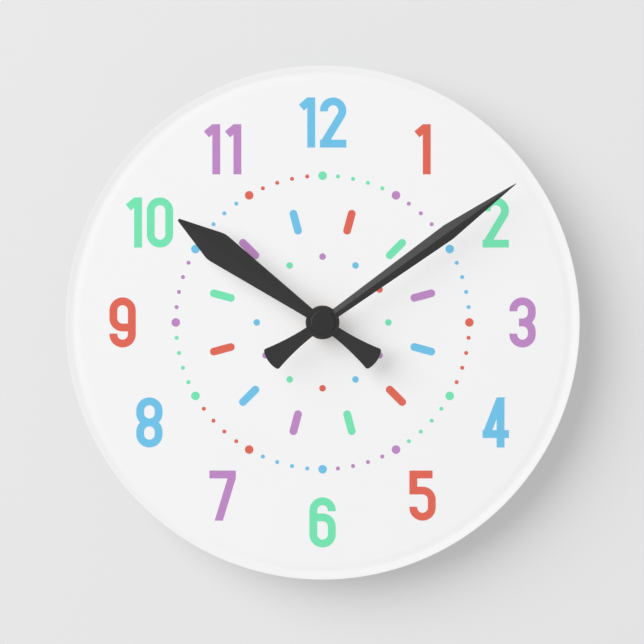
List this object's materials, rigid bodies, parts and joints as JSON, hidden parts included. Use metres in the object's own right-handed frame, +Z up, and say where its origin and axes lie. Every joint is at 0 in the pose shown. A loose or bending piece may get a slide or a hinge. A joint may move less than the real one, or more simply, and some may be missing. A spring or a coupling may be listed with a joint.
{
  "type": "round wall clock",
  "caption": "Round clear acrylic wall clock with a white printed numeral dial, two black lance hands and a quartz movement that hangs on a nail.",
  "frame": {"origin": "where the hands' axis meets the wall: the middle of the back face of the movement case", "axes": "+X to the right of someone reading the time, +Y into the wall along the hands' axis, +Z up"},
  "size_m": [0.2032, 0.0308, 0.2032],
  "materials": {
    "clear_acrylic": "clear, polished all over and round the edge",
    "white_print": "white ink on the back of the acrylic, with coloured numerals",
    "black_rubber": "matte",
    "brass": "turned, satin",
    "zinc_steel": "stamped, zinc plated",
    "black_hand": "stamped aluminium, satin charcoal paint",
    "black_case": "moulded, fine spark texture",
    "black_cap": "moulded, satin",
    "white_gear": "moulded, natural",
    "cell_jacket": null,
    "contact_steel": "nickel plated spring strip",
    "board_fibre": "paper laminate, matte",
    "chip_resin": "drop of resin",
    "crystal_can": "drawn metal can",
    "motor_steel": "stamped soft iron sheet",
    "bobbin_plastic": "moulded",
    "copper_wire": "enamelled copper wire, wound",
    "magnet": "bonded magnet, dark",
    "arbor_steel": "turned, polished"
  },
  "bodies": {
    "root": {"dial_disc": "clear_acrylic", "dial_print": "white_print", "rubber_washer": "black_rubber", "brass_washer": "brass", "hex_nut": "brass", "threaded_bushing": "brass", "wall_hanger": "zinc_steel", "front_housing": "black_case", "back_cover": "black_case", "positive_contact": "contact_steel", "negative_contact": "contact_steel", "mid_plate": "white_gear", "train_bridge": "white_gear", "circuit_board": "board_fibre", "driver_chip": "chip_resin", "quartz_crystal": "crystal_can", "stator": "motor_steel", "coil_core": "motor_steel", "coil_bobbin": "bobbin_plastic", "coil_winding": "copper_wire"},
    "minute_arbor": {"minute_shaft": "brass", "clutch_spring": "contact_steel", "minute_hand_collet": "brass", "minute_hand": "black_hand", "centre_cap": "black_cap"},
    "hour_arbor": {"hour_wheel": "white_gear", "hour_hand_collet": "brass", "hour_hand": "black_hand"},
    "minute_wheel_body": {"minute_wheel": "white_gear"},
    "setting_knob_body": {"setting_knob": "black_case"},
    "rotor_body": {"rotor": "white_gear", "rotor_magnet": "magnet"},
    "intermediate_body": {"intermediate_wheel": "white_gear"},
    "seconds_body": {"seconds_wheel": "white_gear", "seconds_arbor": "arbor_steel"},
    "third_body": {"third_wheel": "white_gear"},
    "centre_body": {"centre_wheel": "white_gear"},
    "cell_body": {"aa_cell": "cell_jacket"}
  },
  "joints": [
    {"name": "minute_hand_spin", "type": "hinge", "parent": "root", "child": "minute_arbor", "pos_m": [0, 0, 0], "axis": [0, 1, 0], "continuous": true},
    {"name": "hour_hand_spin", "type": "hinge", "parent": "root", "child": "hour_arbor", "pos_m": [0, 0, 0], "axis": [0, 1, 0], "continuous": true},
    {"name": "minute_wheel_spin", "type": "hinge", "parent": "root", "child": "minute_wheel_body", "pos_m": [0.00752, 0, -0.00274], "axis": [0, 1, 0], "continuous": true},
    {"name": "setting_knob_spin", "type": "hinge", "parent": "root", "child": "setting_knob_body", "pos_m": [0.0154, 0, -0.00135], "axis": [0, 1, 0], "continuous": true},
    {"name": "rotor_spin", "type": "hinge", "parent": "root", "child": "rotor_body", "pos_m": [0.01142, 0, 0.01014], "axis": [0, 1, 0], "continuous": true},
    {"name": "intermediate_wheel_spin", "type": "hinge", "parent": "root", "child": "intermediate_body", "pos_m": [0.00438, 0, 0.00758], "axis": [0, 1, 0], "continuous": true},
    {"name": "seconds_wheel_spin", "type": "hinge", "parent": "root", "child": "seconds_body", "pos_m": [0, 0, 0], "axis": [0, 1, 0], "continuous": true},
    {"name": "third_wheel_spin", "type": "hinge", "parent": "root", "child": "third_body", "pos_m": [-0.00886, 0, 0.00156], "axis": [0, 1, 0], "continuous": true},
    {"name": "centre_wheel_spin", "type": "hinge", "parent": "root", "child": "centre_body", "pos_m": [0, 0, 0], "axis": [0, 1, 0], "continuous": true},
    {"name": "cell_removal", "type": "slide", "parent": "root", "child": "cell_body", "axis": [0, 1, 0], "range_m": [0, 0.018]}
  ],
  "couplings": [
    {"joint": "hour_hand_spin", "follows": "minute_hand_spin", "ratio": 0.083333},
    {"joint": "minute_wheel_spin", "follows": "minute_hand_spin", "ratio": -0.33333},
    {"joint": "setting_knob_spin", "follows": "minute_hand_spin", "ratio": 1},
    {"joint": "intermediate_wheel_spin", "follows": "rotor_spin", "ratio": -0.2},
    {"joint": "seconds_wheel_spin", "follows": "rotor_spin", "ratio": 0.033333},
    {"joint": "third_wheel_spin", "follows": "rotor_spin", "ratio": -0.0044444},
    {"joint": "centre_wheel_spin", "follows": "rotor_spin", "ratio": 0.00055556}
  ]
}
